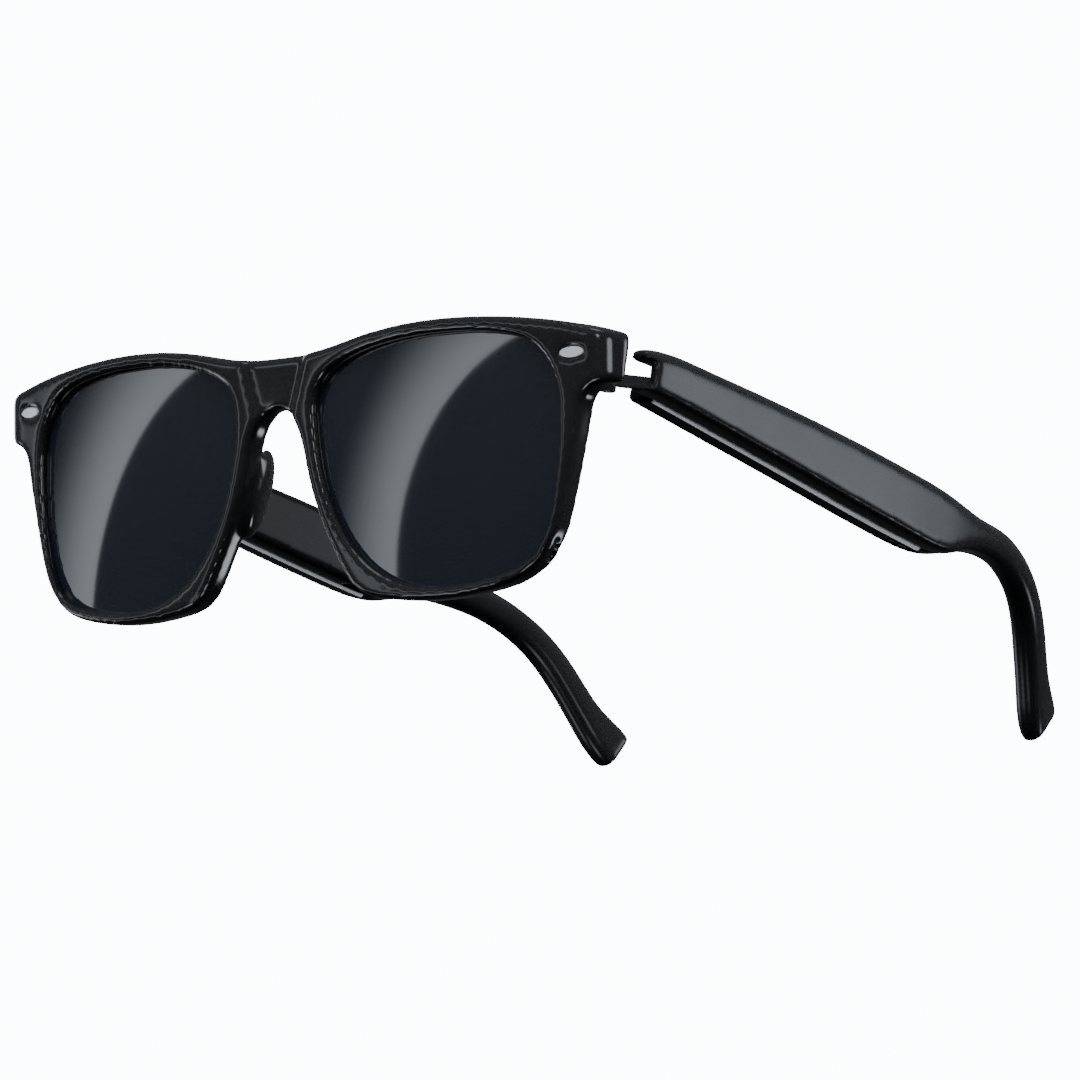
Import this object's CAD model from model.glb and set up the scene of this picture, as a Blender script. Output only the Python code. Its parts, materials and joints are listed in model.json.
import json
import math

import bpy
from mathutils import Matrix, Vector

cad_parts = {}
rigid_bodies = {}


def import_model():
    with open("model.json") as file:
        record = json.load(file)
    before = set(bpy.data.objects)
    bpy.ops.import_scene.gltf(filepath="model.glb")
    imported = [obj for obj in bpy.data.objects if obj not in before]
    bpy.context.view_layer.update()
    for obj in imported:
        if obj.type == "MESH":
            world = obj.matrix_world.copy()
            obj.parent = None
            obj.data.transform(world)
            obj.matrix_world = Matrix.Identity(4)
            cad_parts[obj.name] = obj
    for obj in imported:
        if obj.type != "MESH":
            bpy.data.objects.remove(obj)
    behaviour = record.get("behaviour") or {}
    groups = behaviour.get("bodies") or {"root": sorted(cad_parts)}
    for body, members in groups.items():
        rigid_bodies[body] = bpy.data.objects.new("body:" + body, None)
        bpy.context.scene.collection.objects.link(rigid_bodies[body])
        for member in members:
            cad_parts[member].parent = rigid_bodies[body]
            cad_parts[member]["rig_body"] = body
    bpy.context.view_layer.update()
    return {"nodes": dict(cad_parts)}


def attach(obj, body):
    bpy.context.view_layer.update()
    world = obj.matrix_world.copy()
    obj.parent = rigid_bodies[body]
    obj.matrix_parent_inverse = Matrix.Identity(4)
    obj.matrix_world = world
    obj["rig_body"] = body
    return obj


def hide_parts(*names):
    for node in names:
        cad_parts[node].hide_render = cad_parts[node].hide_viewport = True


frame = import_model()
nodes = frame["nodes"]
scene = bpy.context.scene
sides = {"left": 1, "right": -1}            # the wearer's left is +X
print("frame loaded:", len(nodes), "nodes")

cameraSetup = {
    "place": (0.85176, -0.93497, -0.21664),
    "azimuth": 42.531,                      # degrees round the object from straight in front
    "elevation": -10.886,                   # looks up at the glasses from a little below
    "roll": 4.728,
    "focal": 233.91,                        # mm
    "sensor": 36.0,
    "nearest": 0.01,                        # nothing nearer is drawn
}


def addCamera():
    azimuth, elevation, roll = (math.radians(cameraSetup[key]) for key in ("azimuth", "elevation", "roll"))
    back = Vector((math.sin(azimuth) * math.cos(elevation), -math.cos(azimuth) * math.cos(elevation),
                   math.sin(elevation)))
    right = Vector((math.cos(azimuth), math.sin(azimuth), 0))
    up = back.cross(right)
    turned = right * math.cos(roll) + up * math.sin(roll)
    upright = up * math.cos(roll) - right * math.sin(roll)
    data = bpy.data.cameras.new("camera")
    data.lens = cameraSetup["focal"]
    data.sensor_width = cameraSetup["sensor"]
    data.clip_start = cameraSetup["nearest"]
    camera = bpy.data.objects.new("camera", data)
    scene.collection.objects.link(camera)
    axes = Matrix((turned, upright, back)).transposed()
    camera.matrix_world = Matrix.Translation(cameraSetup["place"]) @ axes.to_4x4()
    scene.camera = camera


addCamera()


# a value in a shader, which is reckoned with like a number
class Signal:
    def __init__(self, tree, socket):
        self.tree = tree
        self.socket = socket

    def combine(self, other, operation, swapped=False):
        node = self.tree.nodes.new("ShaderNodeMath")
        node.operation = operation
        pair = (other, self) if swapped else (self, other)
        for slot, value in zip(node.inputs, pair):
            if isinstance(value, Signal):
                self.tree.links.new(value.socket, slot)
            else:
                slot.default_value = value
        return Signal(self.tree, node.outputs[0])

    def __add__(self, other):
        return self.combine(other, "ADD")

    def __sub__(self, other):
        return self.combine(other, "SUBTRACT")

    def __rsub__(self, other):
        return self.combine(other, "SUBTRACT", True)

    def __mul__(self, other):
        return self.combine(other, "MULTIPLY")

    def __gt__(self, other):
        return self.combine(other, "GREATER_THAN")


# the nodes of one material or of the surroundings
class Recipe:
    def __init__(self, tree):
        self.tree = tree
        tree.nodes.clear()

    def node(self, kind, settings=None, sockets=None, output=0):
        item = self.tree.nodes.new(kind)
        for key, value in (settings or {}).items():
            setattr(item, key, value)
        for key, value in (sockets or {}).items():
            if isinstance(value, Signal):
                self.tree.links.new(value.socket, item.inputs[key])
            else:
                item.inputs[key].default_value = value
        return Signal(self.tree, item.outputs[output]) if item.outputs else item


def newMaterial(name):
    material = bpy.data.materials.new(name)
    material.use_nodes = True
    return material, Recipe(material.node_tree)


def surface(recipe, sockets):
    shader = recipe.node("ShaderNodeBsdfPrincipled", sockets=sockets)
    recipe.node("ShaderNodeOutputMaterial", sockets={"Surface": shader})


# pale floor far below, white surroundings, and a dark room that only the gloss mirrors
studio = {
    "floorHeight": -0.62,
    "floorSize": 40.0,
    "floorColour": (0.86, 0.87, 0.88, 1),
    "floorRough": 0.75,
    "floorGlow": 9.0,
    "backdrop": 14.0,                       # brightness of the white surroundings
    "softLight": 0.55,                      # even light on matt surfaces
    "roomLow": 0.006,                       # what gloss mirrors, low and high in the room
    "roomHigh": 0.12,
    "air": (0.88, 0.94, 1, 1),              # tint of all surroundings
    "panelEdge": 0.08,                      # half width of a panel's sharp edge, in degrees
}
lensPanels = [                              # bright panels behind dark round screens, for the tinted lenses
    {"azimuth": -42.0, "elevation": -11.9, "halfAngle": 19.4, "strength": 1.3, "fade": 8.0},
    {"azimuth": -21.3, "elevation": -9.4, "halfAngle": 16.3, "strength": 1.3, "fade": 7.0},
]
softBoxes = [                               # soft lamps that only the gloss mirrors: way, size in degrees
    {"azimuth": 139.0, "elevation": 10.0, "halfAngle": 9.0, "strength": 3.2, "edge": 7.0},
    {"azimuth": 150.0, "elevation": -26.0, "halfAngle": 5.0, "strength": 5.0, "edge": 3.0},
    {"azimuth": -110.0, "elevation": 12.0, "halfAngle": 12.0, "strength": 1.6, "edge": 8.0},
    {"azimuth": 64.0, "elevation": 4.0, "halfAngle": 9.0, "strength": 3.0, "edge": 4.0},
    {"azimuth": -78.0, "elevation": -16.0, "halfAngle": 8.0, "strength": 2.6, "edge": 5.0},
    {"azimuth": -40.0, "elevation": -38.0, "halfAngle": 7.0, "strength": 2.6, "edge": 5.0},
    {"azimuth": 20.0, "elevation": 12.0, "halfAngle": 6.0, "strength": 3.5, "edge": 3.0},
    {"azimuth": 12.0, "elevation": -50.0, "halfAngle": 9.0, "strength": 3.0, "edge": 6.0},
    {"azimuth": 0.0, "elevation": 72.0, "halfAngle": 14.0, "strength": 1.6, "edge": 9.0},
]


def towards(azimuth, elevation):
    turn, rise = math.radians(azimuth), math.radians(elevation)
    return (math.sin(turn) * math.cos(rise), -math.cos(turn) * math.cos(rise), math.sin(rise))


def addFloor():
    bpy.ops.mesh.primitive_plane_add(size=studio["floorSize"], location=(0, 0, studio["floorHeight"]))
    floor = bpy.context.object
    floor.name = "floor"
    material, recipe = newMaterial("paleFloor")
    surface(recipe, {"Base Color": studio["floorColour"], "Roughness": studio["floorRough"],
                     "Emission Color": (1, 1, 1, 1), "Emission Strength": studio["floorGlow"]})
    floor.data.materials.append(material)
    floor.visible_glossy = False            # the black gloss shows the room, not the floor
    floor.visible_diffuse = False           # its glow doesn't light the matt surfaces


def addWorld():
    world = bpy.data.worlds.new("room")
    world.use_nodes = True
    scene.world = world
    recipe = Recipe(world.node_tree)
    direction = recipe.node("ShaderNodeTexCoord")
    height = recipe.node("ShaderNodeSeparateXYZ", sockets={0: direction}, output="Z")
    glossy = recipe.node("ShaderNodeLightPath", output="Is Glossy Ray")
    diffuse = recipe.node("ShaderNodeLightPath", output="Is Diffuse Ray")
    middle = (studio["roomHigh"] + studio["roomLow"]) / 2
    halfRise = (studio["roomHigh"] - studio["roomLow"]) / 2
    room = height * halfRise + middle       # height runs from -1 below to 1 above

    def along(way):
        return recipe.node("ShaderNodeVectorMath", {"operation": "DOT_PRODUCT"},
                           {0: direction, 1: way}, output="Value")

    def angle(box):
        nearness = along(towards(box["azimuth"], box["elevation"]))
        turn = recipe.node("ShaderNodeMath", {"operation": "ARCCOSINE"}, {0: nearness})
        return turn * (180 / math.pi)

    def ramp(value, start, end, low, high):
        return recipe.node("ShaderNodeMapRange", {"interpolation_type": "SMOOTHSTEP"},
                           {"Value": value, "From Min": start, "From Max": end,
                            "To Min": low, "To Max": high})

    for panel in lensPanels:
        outside = angle(panel) - panel["halfAngle"]
        leftward = along(towards(panel["azimuth"] - 90, 0))
        ahead = along(towards(panel["azimuth"], 0))
        edge = ramp(outside, -studio["panelEdge"], studio["panelEdge"], 0.0, 1.0)
        fade = ramp(outside, 0.0, panel["fade"], 1.0, 0.0)
        room = room + edge * fade * (leftward > 0.0) * (ahead > 0.0) * panel["strength"]
    for box in softBoxes:
        rim, core = box["halfAngle"] + box["edge"], box["halfAngle"] - box["edge"]
        glow = ramp(angle(box), rim, core, 0.0, 1.0)
        room = room + glow * box["strength"]
    unmirrored = diffuse * studio["softLight"] + (1 - diffuse) * studio["backdrop"]
    strength = glossy * room + (1 - glossy) * unmirrored
    sky = recipe.node("ShaderNodeBackground", sockets={"Color": studio["air"], "Strength": strength})
    recipe.node("ShaderNodeOutputWorld", sockets={"Surface": sky})


addFloor()
addWorld()
print("studio ready")

# each finish varies in colour and gloss over the surface, and has its own fine relief
finishes = {
    "glossBlack": {
        "dark": (0.0009, 0.0009, 0.001), "light": (0.0018, 0.0018, 0.002), "scale": 90,
        "rough": (0.1, 0.15), "relief": 260, "depth": 0.00001, "strength": 0.05, "ior": 1.75,
    },
    "satinBlack": {
        "dark": (0.001, 0.001, 0.0011), "light": (0.0022, 0.0022, 0.0024), "scale": 120,
        "rough": (0.17, 0.24), "relief": 900, "depth": 0.00001, "strength": 0.12, "ior": 1.48,
    },
    "coverBlack": {
        "dark": (0.0008, 0.0008, 0.0009), "light": (0.0016, 0.0016, 0.0018), "scale": 110,
        "rough": (0.16, 0.22), "relief": 700, "depth": 0.00001, "strength": 0.1, "ior": 1.25,
    },
    "polishedSilver": {
        "dark": (0.7, 0.71, 0.73), "light": (0.86, 0.87, 0.88), "scale": 400, "rough": (0.16, 0.28),
        "relief": 2500, "depth": 0.00001, "strength": 0.08, "metal": 0.45,
    },
    "darkSteel": {
        "dark": (0.035, 0.035, 0.038), "light": (0.07, 0.07, 0.075), "scale": 500, "rough": (0.28, 0.42),
        "relief": 1800, "depth": 0.00002, "strength": 0.25, "metal": 0.6,
    },
    "brightSteel": {
        "dark": (0.42, 0.43, 0.45), "light": (0.62, 0.63, 0.65), "scale": 700, "rough": (0.2, 0.34),
        "relief": 2600, "depth": 0.00001, "strength": 0.15, "metal": 0.7,
    },
    "gold": {
        "dark": (0.7, 0.5, 0.2), "light": (0.86, 0.66, 0.32), "scale": 600, "rough": (0.18, 0.3),
        "relief": 2200, "depth": 0.00001, "strength": 0.1, "metal": 0.7,
    },
    "boardGreen": {
        "dark": (0.006, 0.05, 0.025), "light": (0.012, 0.1, 0.05), "scale": 300, "rough": (0.3, 0.45),
        "relief": 1200, "depth": 0.00003, "strength": 0.3,
    },
    "foilSilver": {
        "dark": (0.42, 0.43, 0.45), "light": (0.56, 0.57, 0.59), "scale": 180, "rough": (0.3, 0.5),
        "relief": 420, "depth": 0.00006, "strength": 0.4, "metal": 0.5,
    },
    "amberFilm": {
        "dark": (0.3, 0.12, 0.015), "light": (0.45, 0.2, 0.03), "scale": 260, "rough": (0.25, 0.4),
        "relief": 900, "depth": 0.00002, "strength": 0.2,
    },
    "seamLight": {
        "dark": (0.55, 0.55, 0.57), "light": (0.75, 0.75, 0.77), "scale": 150, "rough": (0.25, 0.4),
        "relief": 900, "depth": 0.00001, "strength": 0.1,
    },
    "drawnWire": {
        "dark": (0.35, 0.35, 0.36), "light": (0.5, 0.5, 0.52), "scale": 800, "rough": (0.25, 0.4),
        "relief": 2500, "depth": 0.00002, "strength": 0.3, "metal": 0.8,
    },
    "blackMesh": {
        "dark": (0.012, 0.012, 0.013), "light": (0.05, 0.05, 0.054), "scale": 500, "rough": (0.35, 0.5),
        "relief": 2600, "depth": 0.00012, "strength": 0.8, "metal": 0.5,
    },
}


plainGloss = 1.5                            # IOR of a finish that names none
fineness = {"cloud": 4.0, "grain": 3.0}


# 6, 7 and 2 are the mix node's two colours and its blended colour
def blended(recipe, share, spec):
    return recipe.node("ShaderNodeMix", {"data_type": "RGBA"},
                       {0: share, 6: spec["dark"] + (1,), 7: spec["light"] + (1,)}, output=2)


def noise(recipe, place, scale, detail):
    return recipe.node("ShaderNodeTexNoise", sockets={"Vector": place, "Scale": scale, "Detail": detail})


def makeFinish(name):
    spec = finishes[name]
    material, recipe = newMaterial(name)
    place = recipe.node("ShaderNodeTexCoord", output="Object")
    cloud = noise(recipe, place, spec["scale"], fineness["cloud"])
    grain = noise(recipe, place, spec["relief"], fineness["grain"])
    colour = blended(recipe, cloud, spec)
    low, high = spec["rough"]
    bump = recipe.node("ShaderNodeBump", sockets={"Strength": spec["strength"], "Distance": spec["depth"],
                                                  "Height": grain})
    surface(recipe, {"Base Color": colour, "Roughness": cloud * (high - low) + low, "Normal": bump,
                     "Metallic": spec.get("metal", 0.0), "IOR": spec.get("ior", plainGloss)})
    return material


tint = {
    "dark": (0.0012, 0.0017, 0.0026), "light": (0.0018, 0.0024, 0.0036), "scale": 30.0, "detail": 2.0,
    "rough": (0.03, 0.05), "ior": 2.2,
    "alpha": 0.9993,                        # almost nothing of the bright surroundings comes through
}


def makeTint():
    material, recipe = newMaterial("tintedLens")
    place = recipe.node("ShaderNodeTexCoord", output="Object")
    cloud = noise(recipe, place, tint["scale"], tint["detail"])
    colour = blended(recipe, cloud, tint)
    low, high = tint["rough"]
    surface(recipe, {"Base Color": colour, "Roughness": cloud * (high - low) + low, "IOR": tint["ior"],
                     "Alpha": tint["alpha"]})
    return material


made = {name: makeFinish(name) for name in finishes}
made["tintedLens"] = makeTint()
print("finishes ready:", len(made))

nodeFinish = {
    "front_frame": "glossBlack", "lens": "tintedLens", "stud": "polishedSilver",
    "hinge_front_leaf": "darkSteel", "hinge_temple_leaf": "darkSteel", "hinge_screw": "brightSteel",
    "leaf_screws": "brightSteel", "temple_shell": "satinBlack", "temple_cover": "coverBlack",
    "core_wire": "drawnWire", "circuit_board": "boardGreen", "battery": "foilSilver", "speaker": "darkSteel",
    "antenna": "amberFilm", "touch_sensor": "amberFilm", "speaker_flex": "amberFilm",
    "microphone": "brightSteel", "charging_contacts": "gold", "speaker_mesh": "blackMesh",
}


def dress(item, name):
    item.data.materials.clear()
    item.data.materials.append(made[nodeFinish[name]])


def withoutSide(name):
    return name.removesuffix("_left").removesuffix("_right")


for name, node in nodes.items():
    dress(node, withoutSide(name))

# moulded and polished pieces are the CAD shape with its edges rounded;
# swell puts back what the smoothing passes take off
rounded = {
    "front_frame": {"voxel": 0.00032, "passes": 55, "swell": 0.00030, "slot": "gloss_frame"},
    "temple_shell": {"voxel": 0.00034, "passes": 26, "swell": 0.00020, "slot": "temple_plastic"},
    "temple_cover": {"voxel": 0.00030, "passes": 16, "swell": 0.00010, "slot": "cover_plastic"},
    "stud": {"voxel": 0.00008, "passes": 24, "slot": "polished_stud"},
    "hinge_front_leaf": {"voxel": 0.00010, "passes": 5, "slot": "hinge_metal"},
    "hinge_temple_leaf": {"voxel": 0.00011, "passes": 5, "slot": "hinge_metal"},
}
rounding = {
    "mergeWithin": 0.0000015,               # corners nearer than this are one
    "smoothShare": 0.5,                     # how far one pass moves a corner to its neighbours' middle
}


def takeUp(piece):
    bpy.ops.object.select_all(action="DESELECT")
    piece.select_set(True)
    bpy.context.view_layer.objects.active = piece


def copyOf(nodeName, pieceName):
    piece = bpy.data.objects.new(pieceName, nodes[nodeName].data.copy())
    scene.collection.objects.link(piece)
    takeUp(piece)
    bpy.ops.object.mode_set(mode="EDIT")
    bpy.ops.mesh.select_all(action="SELECT")
    bpy.ops.mesh.remove_doubles(threshold=rounding["mergeWithin"])
    bpy.ops.object.mode_set(mode="OBJECT")
    return piece


def roundOff(piece, voxel, passes, swell=0.0):
    remesh = piece.modifiers.new("remesh", "REMESH")
    remesh.mode = "VOXEL"
    remesh.voxel_size = voxel
    bpy.ops.object.modifier_apply(modifier="remesh")
    if passes:
        smooth = piece.modifiers.new("smooth", "SMOOTH")
        smooth.factor = rounding["smoothShare"]
        smooth.iterations = passes
        bpy.ops.object.modifier_apply(modifier="smooth")
    if swell:
        push = piece.modifiers.new("swell", "DISPLACE")
        push.strength = swell
        push.mid_level = 0.0
        bpy.ops.object.modifier_apply(modifier="swell")
    bpy.ops.object.shade_smooth()


def finishPiece(piece, nodeName):
    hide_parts(nodeName)
    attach(piece, nodes[nodeName]["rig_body"])


for name in nodes:
    plain = withoutSide(name)
    if plain in rounded:
        spec = rounded[plain]
        piece = copyOf(name, name + "_rounded")
        roundOff(piece, spec["voxel"], spec["passes"], spec.get("swell", 0.0))
        dress(piece, plain)
        finishPiece(piece, name)
        print(name, "rounded:", len(piece.data.polygons), "faces")

# where the front's own axes stand
front = {"tilt": 7.84, "place": (0, -0.0786, 0.03657)}

# a lens's front and back are parts of true balls, so that it mirrors cleanly
lens = {
    "radius": 0.300, "thickness": 0.0016,
    "centre": (0.012366, 0.301694, -0.013),     # ball centre of the left lens in the front's axes
    "voxel": 0.00042,
    "reach": 0.00032,                           # corners this near to a ball are set on it
}


def trueBall(piece, centre):
    for vertex in piece.data.vertices:
        way = vertex.co - centre
        for radius in (lens["radius"], lens["radius"] - lens["thickness"]):
            if abs(way.length - radius) < lens["reach"]:
                vertex.co = centre + way * (radius / way.length)


def lensCentre(side):
    x, y, z = lens["centre"]
    turn = Matrix.Rotation(math.radians(front["tilt"]), 3, "X")
    return Vector(front["place"]) + turn @ Vector((side * x, y, z))


for side, sign in sides.items():
    piece = copyOf("lens_" + side, "lens_" + side + "_polished")
    roundOff(piece, lens["voxel"], 0)
    trueBall(piece, lensCentre(sign))
    dress(piece, "lens")
    finishPiece(piece, "lens_" + side)
print("lenses polished")

# where the temples' own axes stand in the front's axes, in mm and degrees
temple = {"place": (70.8, 10.1), "pitch": -11.04, "toe": 1.64}

# the bright line along each temple's underside, where the shell and the cover meet, in mm;
# each place of its path is how far along the temple and how far up
seam = {
    "outwards": 0.1,
    "path": [(11, -2.4), (18, -2.9), (34, -4.2), (50, -5.5), (66, -6.9), (80, -7.95), (88, -8.35)],
    "startRadius": 0.34, "endRadius": 0.62,
    "bend": 3,                                  # order of the curve
    "sides": 4,
}


def onTemple(sign, along, outwards, up):
    turn = Matrix.Rotation(math.radians(temple["pitch"]), 3, "X")
    toe = Matrix.Rotation(math.radians(sign * temple["toe"]), 3, "Z")
    x, y = temple["place"]
    point = turn @ toe @ Vector((sign * outwards, along, up)) + Vector((sign * x, y, 0))
    tilt = Matrix.Rotation(math.radians(front["tilt"]), 3, "X")
    return Vector(front["place"]) + tilt @ point / 1000


def addSeamLine(side, sign):
    curve = bpy.data.curves.new("seam_line_" + side, "CURVE")
    curve.dimensions = "3D"
    line = curve.splines.new("NURBS")
    last = len(seam["path"]) - 1
    line.points.add(last)
    for number, (along, up) in enumerate(seam["path"]):
        line.points[number].co = (*onTemple(sign, along, seam["outwards"], up), 1)
        share = number / last
        line.points[number].radius = seam["startRadius"] * (1 - share) + seam["endRadius"] * share
    line.order_u = seam["bend"]
    line.use_endpoint_u = True
    curve.bevel_depth = 0.001               # a point's radius is in mm
    curve.bevel_resolution = seam["sides"]
    curve.use_fill_caps = True
    piece = bpy.data.objects.new("seam_line_" + side, curve)
    scene.collection.objects.link(piece)
    takeUp(piece)
    bpy.ops.object.convert(target="MESH")
    bpy.ops.object.shade_smooth()
    piece = bpy.context.object
    piece.data.materials.clear()
    piece.data.materials.append(made["seamLight"])
    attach(piece, "temple_" + side)


for side, sign in sides.items():
    addSeamLine(side, sign)
print("seam lines ready")
